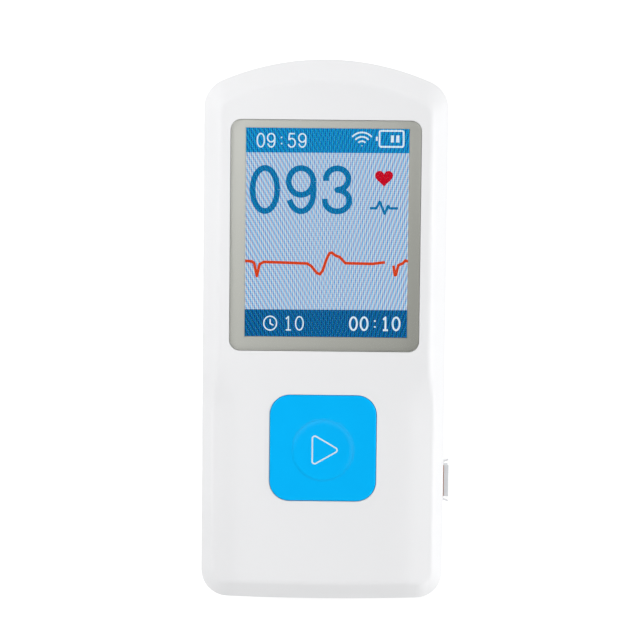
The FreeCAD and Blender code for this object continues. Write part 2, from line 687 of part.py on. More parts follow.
def radio_board():
    return box(RADIO_WIDTH, RADIO_LENGTH, RADIO_THICKNESS, 0, RADIO_Y, BOARD_TOP)


def radio_can():
    """The thin metal can over the radio's circuits, open below."""
    low = BOARD_TOP + RADIO_THICKNESS
    length = RADIO_LENGTH - 2 * CAN_MARGIN
    x = -(RADIO_WIDTH - CAN_WIDTH) / 2 + CAN_EDGE
    can = box(CAN_WIDTH, length, CAN_HEIGHT, x, RADIO_Y, low)
    inside = box(CAN_WIDTH - 2 * CAN_SHEET, length - 2 * CAN_SHEET, CAN_HEIGHT - CAN_SHEET, x, RADIO_Y, low)
    return can.makeChamfer(CAN_SHEET, highest_edges(can)).cut(inside)


def socket_profile(inset, x):
    """The mouth's outline across the socket, with its two lower corners cut off."""
    half = SOCKET_WIDTH / 2 - inset
    high = SOCKET_MIDDLE + SOCKET_HEIGHT / 2 - inset
    low = SOCKET_MIDDLE - SOCKET_HEIGHT / 2 + inset
    slant = SOCKET_SLANT - inset * 0.4
    across = [(-half, high), (half, high), (half, low + slant), (half - slant, low),
              (slant - half, low), (-half, low + slant)]
    return [vec(x, SOCKET_Y + y, z) for y, z in across]


def socket_lip(reach, length):
    """A flat lip that leans out from the mouth's upper edge, reach from the socket's middle."""
    mouth = WIDTH / 2 + SOCKET_PROUD
    side = [(LIP_START, reach - SOCKET_SHEET), (LIP_START, reach),
            (mouth, reach + LIP_FLARE), (mouth, reach + LIP_FLARE - SOCKET_SHEET)]
    return extruded([vec(x, -length / 2, z) for x, z in side], vec(0, length, 0))


def socket_shell():
    """The folded sheet shell of the charging socket: closed behind, with four flared lips at its mouth."""
    tube = extruded(socket_profile(0, SOCKET_BACK), vec(SOCKET_LENGTH, 0, 0))
    bore = extruded(socket_profile(SOCKET_SHEET, SOCKET_BACK + SOCKET_SHEET), vec(SOCKET_LENGTH, 0, 0))
    side_lip = SOCKET_HEIGHT - 2 * SOCKET_SLANT + 0.3
    lips = []
    for quarter in range(4):
        flat = quarter % 2 == 0
        reach = SOCKET_HEIGHT / 2 if flat else SOCKET_WIDTH / 2
        lip = socket_lip(reach, LIP_LENGTH if flat else side_lip)
        lip.rotate(vec(0, 0, 0), vec(1, 0, 0), 90 * quarter)
        lip.translate(vec(0, SOCKET_Y, SOCKET_MIDDLE if flat else SOCKET_MIDDLE + 0.4))
        lips.append(lip)
    return tube.cut(bore).fuse(lips).removeSplitter()


def socket_tongue():
    """The insulating tongue inside the socket, standing out of a plug of the same moulding."""
    back = SOCKET_BACK + SOCKET_SHEET
    plug = extruded(socket_profile(SOCKET_SHEET, back), vec(TONGUE_PLUG, 0, 0))
    tongue = box(TONGUE_LENGTH, TONGUE_WIDTH, TONGUE_THICKNESS,
                 back + TONGUE_PLUG + TONGUE_LENGTH / 2, SOCKET_Y, TONGUE_TOP - TONGUE_THICKNESS)
    return plug.fuse(tongue).removeSplitter()


def socket_contacts():
    """Five gilt strips along the underside of the tongue."""
    length, thickness = TONGUE_LENGTH - CONTACT_SETBACK, CONTACT_THICKNESS
    x = SOCKET_BACK + SOCKET_SHEET + TONGUE_PLUG + length / 2
    z = TONGUE_TOP - TONGUE_THICKNESS - thickness
    return Part.makeCompound([box(length, CONTACT_WIDTH, thickness, x, SOCKET_Y + CONTACT_PITCH * place, z)
                              for place in range(-2, 3)])


def socket_tape():
    """The amber strip of insulating tape on top of the socket, showing a little outside the wall."""
    length = LIP_START - (WIDTH / 2 - WALL) + 0.2
    return box(length, LIP_LENGTH, SOCKET_TAPE_THICKNESS, LIP_START - length / 2, SOCKET_Y,
               SOCKET_MIDDLE + SOCKET_HEIGHT / 2)


def side_electrode(side):
    """A plate flush with the side wall, held from inside by a thin flange."""
    plate = electrode_window(1).common(box(WIDTH, LENGTH, DEPTH, 0, 0, 0))
    length, height = ELECTRODE_LENGTH + 2 * ELECTRODE_FLANGE, ELECTRODE_HEIGHT + 2 * ELECTRODE_FLANGE
    flange = box(ELECTRODE_SHEET, length, height, ELECTRODE_INNER + ELECTRODE_SHEET / 2, ELECTRODE_Y,
                 ELECTRODE_Z - height / 2)
    whole = plate.fuse(flange).removeSplitter()
    return whole if side > 0 else whole.mirror(vec(0, 0, 0), vec(1, 0, 0))


def back_electrode_plate():
    return rounded_block(BACK_ELECTRODE_WIDTH, BACK_ELECTRODE_LENGTH, 2.0, 0, BACK_ELECTRODE_SHEET,
                         0, BACK_ELECTRODE_Y)


def back_electrode_stud():
    return cylinder(STUD_DIAMETER, 0.1, STUD_TOP, 0, BACK_ELECTRODE_Y)


def back_electrode():
    return back_electrode_plate().fuse(back_electrode_stud()).removeSplitter()


def side_spring(side):
    """A leaf on the board that presses outward on a side electrode."""
    foot, knee = BOARD_EDGE - SPRING_FOOT, BOARD_EDGE - SPRING_SETBACK
    inner = knee - SPRING_SHEET
    knee_z = BOARD_TOP + SPRING_RISE
    tip_z = knee_z + SPRING_TIP
    points = [(foot, BOARD_TOP), (knee, BOARD_TOP), (knee, knee_z), (ELECTRODE_INNER, tip_z),
              (ELECTRODE_INNER, tip_z + SPRING_SHEET), (inner, knee_z + SPRING_SHEET / 2),
              (inner, BOARD_TOP + SPRING_SHEET), (foot, BOARD_TOP + SPRING_SHEET)]
    corners = [vec(x, ELECTRODE_Y - SPRING_WIDTH / 2, z) for x, z in points]
    leaf = extruded(corners, vec(0, SPRING_WIDTH, 0))
    return leaf if side > 0 else leaf.mirror(vec(0, 0, 0), vec(1, 0, 0))


def back_pin():
    """A sprung pin under the board that presses on the back electrode's stud."""
    sleeve_low = (STUD_TOP + BOARD_LOW) / 2
    sleeve = cylinder(PIN_DIAMETER, sleeve_low, BOARD_LOW, 0, BACK_ELECTRODE_Y)
    tip = cylinder(PIN_TIP, STUD_TOP, sleeve_low, 0, BACK_ELECTRODE_Y)
    return sleeve.fuse(tip).removeSplitter()


def battery():
    """A foil pouch cell with soft long edges."""
    cell = box(BATTERY_WIDTH, BATTERY_LENGTH, BATTERY_TOP - BATTERY_LOW, 0, BATTERY_Y, BATTERY_LOW)
    long_edges = [e for e in cell.Edges if abs(e.BoundBox.YLength - BATTERY_LENGTH) < 0.01]
    return cell.makeFillet(BATTERY_ROUNDING, long_edges)


def battery_pad():
    length = BATTERY_LENGTH - 2 * BATTERY_PAD_MARGIN
    return box(BATTERY_WIDTH - 2 * BATTERY_PAD_MARGIN, length, BATTERY_PAD, 0, BATTERY_Y, WALL)


def battery_plug():
    """The two-pole plug and socket under the board that the battery's leads end in."""
    low = BOARD_LOW - PLUG_HEIGHT
    block = box(PLUG_WIDTH, PLUG_LENGTH, PLUG_HEIGHT, PLUG_X, PLUG_FACE - PLUG_LENGTH / 2, low)
    back = PLUG_FACE - PLUG_LENGTH
    slots = [box(PLUG_SLOT_WIDTH, PLUG_SLOT_DEPTH, PLUG_HEIGHT / 2,
                 PLUG_X + side * 0.3 * PLUG_WIDTH, back, low) for side in (-1, 1)]
    return block.cut(slots)


def battery_lead(side):
    """A wire that hangs in one even curve from the battery's end to the plug."""
    apart_start, apart_end = 1.6 * LEAD_DIAMETER, LEAD_DIAMETER
    start_z = WALL + RIB_HEIGHT + LEAD_ABOVE_RIB + LEAD_DIAMETER / 2
    start = vec(PLUG_X + LEAD_SHIFT + side * apart_start, BATTERY_FOOT, start_z)
    end = vec(PLUG_X + side * apart_end, PLUG_FACE, BOARD_LOW - PLUG_HEIGHT / 2)
    over = (start - end) * 0.08
    dip = (start + end) * 0.5 - vec(0, 0, LEAD_SAG)
    path = Part.Arc(start + over, dip, end - over).toShape()
    first, tangent = path.valueAt(path.FirstParameter), path.tangentAt(path.FirstParameter)
    across = tangent.cross(vec(0, 0, 1)).normalize() * (LEAD_DIAMETER / 2)
    corners = [first + FreeCAD.Rotation(tangent, 45 * corner).multVec(across) for corner in range(8)]
    wire = Part.Wire([path]).makePipeShell([Part.makePolygon(corners + corners[:1])], True, True)
    between = box(WIDTH, LEAD_RUN, DEPTH, 0, (BATTERY_FOOT + PLUG_FACE) / 2, 0)
    return wire.common(between)


def charge_chip():
    """A small chip under the board, beside the charging socket."""
    size = CHARGE_CHIP_SIZE
    x, y = SOCKET_BACK - 3 * size, SOCKET_Y - SOCKET_WIDTH
    body = box(size, size, CHIP_HEIGHT, x, y, BOARD_LOW - CHIP_HEIGHT)
    return body.makeChamfer(CHIP_EDGE, lowest_edges(body))


def make_nodes():
    nodes = {
        "front_cover": front_cover(),
        "back_cover": back_cover(),
        "display_lens": lens(),
        "lens_print": lens_print(),
        "lens_tape": lens_tape(),
        "display_gasket": display_gasket(),
        "display_panel": display_panel(),
        "backlight_frame": backlight_frame(),
        "display_bracket": display_bracket(),
        "display_cable": display_cable(),
        "cable_socket": cable_socket(),
        "key_cap": key_cap(),
        "switch_base": switch_base(),
        "switch_cover": switch_cover(),
        "switch_plunger": switch_plunger(),
        "main_board": main_board(),
        "processor": chip(PROCESSOR_SIZE, -0.15, 0.28),
        "heart_amplifier": chip(AMPLIFIER_SIZE, 0.2, -0.18),
        "radio_board": radio_board(),
        "radio_can": radio_can(),
        "socket_shell": socket_shell(),
        "socket_tongue": socket_tongue(),
        "socket_contacts": socket_contacts(),
        "socket_tape": socket_tape(),
        "charge_chip": charge_chip(),
        "back_electrode": back_electrode(),
        "back_pin": back_pin(),
        "battery": battery(),
        "battery_pad": battery_pad(),
        "battery_plug": battery_plug(),
    }
    for name, side in (("right", 1), ("left", -1)):
        nodes[name + "_electrode"] = side_electrode(side)
        nodes[name + "_spring"] = side_spring(side)
    for name, side in (("red", 1), ("black", -1)):
        nodes["battery_lead_" + name] = battery_lead(side)
    return nodes


def write_parts():
    os.makedirs("parts", exist_ok=True)
    for name, shape in make_nodes().items():
        shape.exportStep(os.path.join("parts", name + ".step"))


write_parts()
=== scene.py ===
import bmesh
import bpy
import math
from mathutils import Matrix, Vector


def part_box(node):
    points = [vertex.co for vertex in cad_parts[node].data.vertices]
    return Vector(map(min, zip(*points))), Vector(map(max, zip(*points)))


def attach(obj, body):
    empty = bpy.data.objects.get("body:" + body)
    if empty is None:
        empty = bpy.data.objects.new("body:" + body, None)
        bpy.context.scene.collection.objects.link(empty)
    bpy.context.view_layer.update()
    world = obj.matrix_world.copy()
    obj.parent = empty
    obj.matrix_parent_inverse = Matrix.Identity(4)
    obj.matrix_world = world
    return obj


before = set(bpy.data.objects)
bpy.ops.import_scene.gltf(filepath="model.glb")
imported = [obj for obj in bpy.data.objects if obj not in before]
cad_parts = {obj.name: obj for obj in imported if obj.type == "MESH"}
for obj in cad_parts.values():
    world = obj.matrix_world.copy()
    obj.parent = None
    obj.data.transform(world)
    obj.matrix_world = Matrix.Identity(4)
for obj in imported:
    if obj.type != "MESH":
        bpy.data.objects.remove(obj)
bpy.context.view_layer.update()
MM = 0.001


# ---- Front and back cover ----
# Two shells moulded in white ABS that meet at a fine groove round the waist, with a light spark
# grain that hands have rubbed down. Beside the key the face falls away a little to the long edges.


class Value:
    """What comes out of a shader node. Arithmetic on it adds Math nodes."""

    def __init__(self, tree, socket):
        self.tree, self.socket = tree, socket

    def worked(self, operation, *values):
        """One Math node on these values and numbers."""
        return self.tree.add("ShaderNodeMath", {"operation": operation}, dict(enumerate(values)))["Value"]

    def __add__(self, other):
        return self.worked("ADD", self, other)

    def __sub__(self, other):
        return self.worked("SUBTRACT", self, other)

    def __rsub__(self, other):
        return self.worked("SUBTRACT", other, self)

    def __mul__(self, other):
        return self.worked("MULTIPLY", self, other)

    def __truediv__(self, number):
        return self * (1 / number)

    def __pow__(self, other):
        return self.worked("POWER", self, other)

    __radd__ = __add__
    __rmul__ = __mul__

    def size(self):
        return self.worked("ABSOLUTE", self)

    def at_most(self, limit):
        return self.worked("MINIMUM", self, limit)

    def wave(self):
        """0 to 1 and back, once for each whole number."""
        return 0.5 + 0.5 * self.worked("SINE", self * math.tau)

    def held(self, low, high):
        """A smooth rise from 0 at low to 1 at high."""
        return self.tree.add("ShaderNodeMapRange", {"interpolation_type": "SMOOTHSTEP"}, {
            "Value": self, "From Min": low, "From Max": high})["Result"]


class Shading:
    """A tree of shader nodes."""

    def __init__(self, tree):
        self.nodes, self.links = tree.nodes, tree.links

    def set(self, node, values):
        """Values or links for a node's sockets, each named or counted from the first in use."""
        in_use = [socket for socket in node.inputs if socket.enabled]
        for key, value in values.items():
            socket = in_use[key] if isinstance(key, int) else next(s for s in in_use if s.name == key)
            if isinstance(value, Value):
                self.links.new(value.socket, socket)
            else:
                socket.default_value = (*value, 1.0) if socket.type == "RGBA" else value

    def add(self, kind, settings, values):
        """A node of this kind: its settings first, then the values or links of its sockets."""
        node = self.nodes.new(kind)
        for name, value in settings.items():
            setattr(node, name, value)
        self.set(node, values)
        return {output.name: Value(self, output) for output in node.outputs if output.enabled}


class Finish(Shading):
    """A material: one Principled shader with fixed values, and nodes that vary it over the surface."""

    def __init__(self, name, colour, roughness, **fixed):
        self.material = bpy.data.materials.new(name)
        self.material.use_nodes = True
        super().__init__(self.material.node_tree)
        self.shader = self.nodes["Principled BSDF"]
        self.vary(Base_Color=colour, Roughness=roughness, **fixed)

    def vary(self, **values):
        """New values or links for the shader's sockets, named with _ for a space."""
        self.set(self.shader, {socket.replace("_", " "): value for socket, value in values.items()})

    def place(self, stretch=(1.0, 1.0, 1.0)):
        """Where a point is on the object, in metres."""
        here = self.add("ShaderNodeTexCoord", {}, {})["Object"]
        return self.add("ShaderNodeMapping", {}, {"Vector": here, "Scale": stretch})["Vector"]

    def axes(self):
        """The same place as its X, Y and Z."""
        return self.add("ShaderNodeSeparateXYZ", {}, {"Vector": self.place()})

    def noise(self, size, detail=2.0, stretch=(1.0, 1.0, 1.0)):
        """Cloudy variation whose patches are about size metres across."""
        return self.add("ShaderNodeTexNoise", {}, {
            "Vector": self.place(stretch), "Scale": 1.0 / size, "Detail": detail})["Fac"]

    def blend(self, share, first, second):
        """A colour between two colours."""
        return self.add("ShaderNodeMix", {"data_type": "RGBA"}, {
            "Factor": share, "A": first, "B": second})["Result"]

    def relief(self, height, depth, strength=1.0):
        """A bump that stands height times depth metres proud."""
        self.vary(Normal=self.add("ShaderNodeBump", {}, {
            "Height": height, "Distance": depth, "Strength": strength})["Normal"])

    def on(self, *nodes):
        """Lays the finish on these nodes of the frame."""
        for name in nodes:
            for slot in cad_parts[name].material_slots:
                slot.material = self.material


WHITE = (0.86, 0.862, 0.872)
WHITE_SHADE = (0.835, 0.838, 0.85)
GRAIN_SIZE, GRAIN_HEIGHT = 0.22 * MM, 0.006 * MM
white_moulding = Finish("white_moulding", WHITE, 0.45, Specular_IOR_Level=0.4)
cloud = white_moulding.noise(18 * MM, 3.0)
grain = white_moulding.noise(GRAIN_SIZE, 2.0)
handled = white_moulding.noise(9 * MM, 4.0)
white_moulding.vary(
    Base_Color=white_moulding.blend(cloud, WHITE_SHADE, WHITE),
    Roughness=0.38 + 0.12 * handled + 0.06 * grain)

# The fall starts at a soft fold, FALL_SIDE from the middle line at the grip end. Between FALL_LOW
# and FALL_HIGH the fold runs outwards by FALL_SPREAD and so fades beside the window.
FALL_SIDE, FALL_SPREAD, FALL_EDGE = 16.3 * MM, 3.8 * MM, 20.0 * MM
FALL_LOW, FALL_HIGH = -14.0 * MM, -4.5 * MM
FALL_SLOPE, FALL_ROUND = 0.13, 0.8 * MM
cover_axes = white_moulding.axes()
fold = FALL_SIDE + FALL_SPREAD * cover_axes["Y"].held(FALL_LOW, FALL_HIGH)
past_fold = cover_axes["X"].size().at_most(FALL_EDGE) - fold
fall = (past_fold + (past_fold ** 2 + FALL_ROUND ** 2) ** 0.5) * (0.5 * FALL_SLOPE)
white_moulding.relief((GRAIN_HEIGHT / MM) * grain - fall / MM, MM)
white_moulding.on("front_cover", "back_cover")


# ---- Window and its printed border ----
# A plate of clear acrylic, flush in the front cover. Its back is printed with a warm grey border
# round the picture, and foam tape under the border holds it to the shelf in the cover.

# The clear plate shows only by its sheen, which lies on the outer face and grows at a slant.
ACRYLIC_INDEX = 1.49
LEAST_SHEEN, SHEEN_RISE = 0.02, 0.9
clear_acrylic = Finish("clear_acrylic", (0.02, 0.02, 0.02), 0.04, IOR=ACRYLIC_INDEX,
                       Specular_IOR_Level=0.5)
smear = clear_acrylic.noise(6 * MM, 4.0, (1.0, 0.4, 1.0))
glance = clear_acrylic.add("ShaderNodeFresnel", {}, {"IOR": ACRYLIC_INDEX})["Fac"]
surface = clear_acrylic.add("ShaderNodeNewGeometry", {}, {})
upward = clear_acrylic.add("ShaderNodeSeparateXYZ", {}, {"Vector": surface["True Normal"]})["Z"]
outside = (1 - surface["Backfacing"]) * upward.held(-0.5, 0.0)
clear_acrylic.vary(
    Roughness=0.03 + 0.05 * smear,
    Alpha=(LEAST_SHEEN + SHEEN_RISE * glance) * outside)
clear_acrylic.on("display_lens")

# Painted light and shade: the grey print is palest at the upper left and deepens to the right and the foot,
# as the lamps light it.
INK_LIT = (0.615, 0.622, 0.578)
INK_SHADED = (0.274, 0.278, 0.247)
grey_ink = Finish("grey_ink", INK_LIT, 0.5)
print_low, print_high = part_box("lens_print")
ink_axes = grey_ink.axes()
across = (ink_axes["X"] - print_low[0]) / (print_high[0] - print_low[0])
down = (print_high[1] - ink_axes["Y"]) / (print_high[1] - print_low[1])
speckle = grey_ink.noise(0.12 * MM, 1.0)
# Painted shade: the grey darkens across to the right and down to the foot.
grey_ink.vary(
    Base_Color=grey_ink.blend(0.45 * across + 0.4 * down + 0.15 * speckle, INK_LIT, INK_SHADED),
    Roughness=0.45 + 0.1 * speckle)
grey_ink.on("lens_print")


def mesh_data(name, mesh):
    """The finished mesh of a bmesh, which is freed."""
    data = bpy.data.meshes.new(name)
    mesh.to_mesh(data)
    mesh.free()
    return data


def placed(name, data):
    """An object with this mesh, lamp or camera, in the scene."""
    item = bpy.data.objects.new(name, data)
    bpy.context.collection.objects.link(item)
    return item


def fitted(name, mesh, finish, body):
    """A piece made from a bmesh, in one finish, that moves with a body."""
    piece = placed(name, mesh_data(name, mesh))
    piece.data.materials.append(finish.material)
    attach(piece, body)
    return piece


INK_PROUD, INK_MARGIN = 0.3 * MM, 0.02 * MM
LOOKS_UP = 0.9


def ink_face():
    """The print's upper face, as wide as the window and raised to where it is seen in the acrylic."""
    mesh = bmesh.new()
    mesh.from_mesh(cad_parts["lens_print"].data)
    hidden = [face for face in mesh.faces if face.normal.z < LOOKS_UP]
    bmesh.ops.delete(mesh, geom=hidden, context="FACES")
    lens_low, lens_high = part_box("display_lens")
    middle = (Vector(print_low) + Vector(print_high)) / 2
    for corner in mesh.verts:
        for axis in (0, 1):
            window_size = lens_high[axis] - lens_low[axis] - 2 * INK_MARGIN
            stretch = window_size / (print_high[axis] - print_low[axis])
            corner.co[axis] = middle[axis] + (corner.co[axis] - middle[axis]) * stretch
        corner.co.z += INK_PROUD
    return mesh


fitted("border_ink", ink_face(), grey_ink, "housing")

CELL_SIZE, CELL_DEPTH = 0.25 * MM, 0.03 * MM
foam_tape = Finish("foam_tape", (0.02, 0.02, 0.02), 0.9)
cells = foam_tape.add("ShaderNodeTexVoronoi", {}, {
    "Vector": foam_tape.place(), "Scale": 1 / CELL_SIZE})["Distance"]
foam_tape.vary(Base_Color=foam_tape.blend(cells, (0.035, 0.035, 0.035), (0.01, 0.01, 0.01)))
foam_tape.relief(cells, CELL_DEPTH)
foam_tape.on("lens_tape", "display_gasket", "battery_pad")


# ---- Display module ----
# A two-inch colour panel in a white tray. Its glass is lit from behind, and the fine columns of
# its colour dots shimmer in leaning blue and white lines over everything that it shows.

PRINT_SIDE, PRINT_END = 2.4 * MM, 1.95 * MM
PICTURE_SHIFT, PICTURE_TURN = (0.3 * MM, 0.7 * MM), math.radians(0.25)
PICTURE_WIDTH = print_high[0] - print_low[0] - 2 * PRINT_SIDE
PICTURE_LENGTH = print_high[1] - print_low[1] - 2 * PRINT_END
PICTURE_MIDDLE = Vector(((print_low[0] + print_high[0]) / 2 + PICTURE_SHIFT[0],
                         (print_low[1] + print_high[1]) / 2 + PICTURE_SHIFT[1],
                         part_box("display_panel")[1][2]))
COLUMNS, ROWS = 176, 220
DOT = PICTURE_WIDTH / COLUMNS
GROUND_LAYER, BAR_LAYER, FIGURE_LAYER = 0, 1, 2
LAYER = 0.015 * MM


def dot_place(column, row, layer):
    """The point on the panel's glass at a column from the left and a row from the top."""
    x = (column - COLUMNS / 2) * DOT
    y = (ROWS / 2 - row) * PICTURE_LENGTH / ROWS
    return PICTURE_MIDDLE + Matrix.Rotation(PICTURE_TURN, 3, "Z") @ Vector((x, y, LAYER * (layer + 1)))


# In dots: the pitch of the fine stripes, and of the broad ones, along and up, that lean outwards.
COLUMN_WAVE, ROW_WAVE = 2.28, 2.2
LEFT_LEAN, RIGHT_LEAN = (4.9, 8.3), (4.5, 11.8)
COLUMN_SHARE, ROW_SHARE, LEAN_SHARE = 0.48, 0.14, 0.38
COLOUR_STEP = 0.13


def lit(name, pale, deep):
    """Light from the panel: fine stripes under broad leaning ones, the colours a little apart."""
    glow = Finish(name, (0.001, 0.001, 0.001), 0.5, Emission_Strength=1.0, Specular_IOR_Level=0.0)
    axes = glow.axes()
    x, y = axes["X"] / DOT, axes["Y"] / DOT
    rows = (y / ROW_WAVE).wave()
    rightward = x.held(-COLUMNS / 2, COLUMNS / 2)
    lights = {}
    for count, colour in enumerate(("Red", "Green", "Blue")):
        shift = count * COLOUR_STEP
        columns = (x / COLUMN_WAVE + shift).wave()
        left = (x / LEFT_LEAN[0] + y / LEFT_LEAN[1] + shift).wave()
        right = (x / RIGHT_LEAN[0] - y / RIGHT_LEAN[1] + shift).wave()
        leaning = left + (right - left) * rightward
        share = COLUMN_SHARE * columns + ROW_SHARE * rows + LEAN_SHARE * leaning
        lights[colour] = deep[count] + (pale[count] - deep[count]) * share
    glow.vary(Emission_Color=glow.add("ShaderNodeCombineColor", {}, lights)["Color"])
    return glow


def srgb(*levels):
    """A screen colour, red, green and blue from 0 to 255, as the shader's linear colour."""
    shares = [level / 255 for level in levels]
    return tuple(((share + 0.055) / 1.055) ** 2.4 if share > 0.04045 else share / 12.92 for share in shares)


def patch(name, points, finish, layer):
    """One flat piece of light with its corners at these dots."""
    mesh = bmesh.new()
    mesh.faces.new([mesh.verts.new(dot_place(column, row, layer)) for column, row in points])
    return fitted(name, mesh, finish, "housing")


OVERSCAN = 3
TOP_BAR_FOOT, FOOT_BAR_TOP = 26.5, 192.5


def bar(name, top, foot, finish, layer):
    """A band of light over the panel's full width, between two rows."""
    left, right = -OVERSCAN, COLUMNS + OVERSCAN
    return patch(name, [(left, foot), (right, foot), (right, top), (left, top)], finish, layer)


picture_light = lit("picture_light", srgb(229, 242, 255), srgb(0, 118, 180))
top_light = lit("top_bar_light", srgb(28, 176, 240), srgb(0, 54, 120))
foot_light = lit("foot_bar_light", srgb(20, 128, 196), srgb(0, 30, 66))
bar("picture_ground", -OVERSCAN, ROWS + OVERSCAN, picture_light, GROUND_LAYER)
bar("top_bar", -OVERSCAN, TOP_BAR_FOOT, top_light, BAR_LAYER)
bar("foot_bar", FOOT_BAR_TOP, ROWS + OVERSCAN, foot_light, BAR_LAYER)

panel_glass = Finish("panel_glass", (0.05, 0.06, 0.08), 0.12)
haze = panel_glass.noise(5 * MM, 2.0)
panel_glass.vary(Roughness=0.1 + 0.08 * haze)
panel_glass.on("display_panel")


# ---- What the display shows ----
# Plain numbers, a heart, a battery, waves and a trace. Each is drawn with one width of pen, as the
# panel's own figures are, and lies just above the ground that it is drawn on. Sizes are in dots.

def arc(middle, radii, start, end, steps=14):
    """Points on an ellipse, from one angle to another, in degrees anticlockwise from the right."""
    turns = [math.radians(start + (end - start) * step / steps) for step in range(steps + 1)]
    return [(middle[0] + radii[0] * math.cos(turn), middle[1] + radii[1] * math.sin(turn))
            for turn in turns]


# The pen strokes of each figure, in a box one wide and one high, from its lower left corner.
FIGURES = {
    "0": [arc((0.5, 0.5), (0.5, 0.5), 0, 360, 32)],
    "1": [[(0.18, 0.82), (0.5, 1.0), (0.5, 0.0)], [(0.15, 0.0), (0.85, 0.0)]],
    "3": [arc((0.5, 0.75), (0.46, 0.25), 190, -90) + arc((0.5, 0.25), (0.5, 0.25), 90, -190)[1:]],
    "5": [[(0.9, 1.0), (0.16, 1.0), (0.08, 0.56)] + arc((0.46, 0.32), (0.5, 0.32), 130, -160)],
    "9": [arc((0.5, 0.69), (0.5, 0.31), 0, 360, 28), [(1.0, 0.69)] + arc((0.5, 0.42), (0.5, 0.42), 0, -158)],
    ":": [[(0.5, 0.2), (0.5, 0.31)], [(0.5, 0.66), (0.5, 0.77)]],
}


def drawn(name, strokes, pen, finish):
    """Flat strokes with round corners and cut-off ends. Strokes are lists of columns and rows."""
    mesh = bmesh.new()
    half = pen / 2

    def face(points):
        mesh.faces.new([mesh.verts.new(dot_place(column, row, FIGURE_LAYER)) for column, row in points])

    for stroke in strokes:
        for (x, y), (u, v) in zip(stroke, stroke[1:]):
            long = math.hypot(u - x, v - y)
            dx, dy = half * (v - y) / long, half * (u - x) / long
            face([(x - dx, y + dy), (u - dx, v + dy), (u + dx, v - dy), (x + dx, y - dy)])
        for corner in stroke[1:-1]:
            face(arc(corner, (half, half), 0, -330, 11))
    return fitted(name, mesh, finish, "housing")


def number(name, signs, corner, size, gap, pen, finish):
    """A row of figures: the upper left corner of the first, and the width and height of each."""
    left, top = corner
    wide, high = size
    strokes = []
    for place, sign in enumerate(signs):
        start = left + place * (wide + gap)
        for stroke in FIGURES[sign]:
            strokes.append([(start + pen / 2 + x * (wide - pen), top + high - pen / 2 - y * (high - pen))
                            for x, y in stroke])
    return drawn(name, strokes, pen, finish)


white_light = lit("white_figures", srgb(250, 253, 255), srgb(176, 214, 238))
blue_light = lit("blue_figures", srgb(20, 144, 204), srgb(2, 72, 124))
red_light = lit("heart_light", srgb(220, 14, 42), srgb(168, 8, 30))
trace_light = lit("trace_light", srgb(232, 78, 34), srgb(190, 52, 24))

number("pulse_number", "093", (4.2, 39.6), (33.0, 51.8), 6.1, 6.2, blue_light)
number("clock_number", "09:59", (11.5, 5.8), (9.2, 15.6), 2.0, 1.5, white_light)
number("elapsed_number", "00:10", (112.8, 199.4), (9.6, 15.6), 2.0, 2.0, white_light)
number("period_number", "10", (42.0, 199.4), (9.6, 15.6), 2.4, 1.4, white_light)

TRACE = [(-1, 141.1), (6.5, 141.6), (9.4, 143.5), (11.4, 153), (12.3, 157.2), (13.4, 153), (15.2, 144.6),
         (20, 142.1), (44, 142.8), (67, 143.6), (71.5, 146.4), (77.5, 153.6), (80.8, 154.9), (83.8, 151),
         (88, 138.6), (91, 132.6), (93.4, 131.8), (97.6, 135), (102, 136.4), (108.4, 143), (137.7, 143.6),
         (146, 142.4), (151.4, 141.9)]
NEXT_BEAT = [(160.6, 145.2), (162.2, 155.4), (163.4, 155.0), (165.8, 144.9), (170.6, 142.8), (173.6, 139.8),
             (178, 141.1)]
drawn("trace", [TRACE, NEXT_BEAT], 3.0, trace_light)

CLOCK_MIDDLE = (27.0, 207.2)
clock_face = arc(CLOCK_MIDDLE, (7.0, 7.4), 0, 360, 28)
clock_hands = [(27.0, 202.8), (27.0, 207.6), (30.6, 209.4)]
drawn("period_clock", [clock_face, clock_hands], 1.4, white_light)

WAVES_FOOT = (125.4, 19.0)
waves = [arc(WAVES_FOOT, (radius, radius), 222, 318, 10) for radius in (5.0, 9.6, 14.2)]
waves_dot = [(125.4, 18.6), (125.4, 19.2)]
drawn("radio_waves", waves + [waves_dot], 1.7, white_light)

pulse_sign = [(134.5, 84.6), (141.6, 84.6), (145.2, 77.6), (150.4, 90.4), (154.2, 82.0), (156.0, 84.6),
              (165.0, 84.6)]
drawn("pulse_sign", [pulse_sign], 2.6, blue_light)


def rounded_frame(left, top, right, foot, radius):
    """The closed outline of a box with round corners."""
    corners = [((right - radius, top + radius), 270), ((right - radius, foot - radius), 0),
               ((left + radius, foot - radius), 90), ((left + radius, top + radius), 180)]
    points = []
    for middle, start in corners:
        points += arc(middle, (radius, radius), start, start + 90, 4)
    return points + points[:1]


battery_case = rounded_frame(144.4, 3.0, 170.4, 19.8, 1.8)
battery_knob = [(141.4, 9.2), (141.4, 13.6)]
drawn("battery_sign", [battery_case, battery_knob], 1.9, white_light)
battery_bars = [[(column, 7.8), (column, 15.2)] for column in (158.2, 164.2)]
drawn("battery_level", battery_bars, 3.4, white_light)


def heart(middle, size):
    """The outline of a heart, anticlockwise, from the usual curve for one."""
    turns = [math.tau * step / 48 for step in range(47, -1, -1)]
    return [(middle[0] + size * 16 * math.sin(turn) ** 3,
             middle[1] - size * (13 * math.cos(turn) - 5 * math.cos(2 * turn)
                                 - 2 * math.cos(3 * turn) - math.cos(4 * turn))) for turn in turns]


patch("heart", heart((149.6, 52.4), 0.61), red_light, FIGURE_LAYER)


# ---- Tray, bracket and ribbon cable ----
# The tray and the frame that carries it are white mouldings. The display's ribbon cable is copper
# tracks laminated in amber film, pressed into an ivory socket on the board.

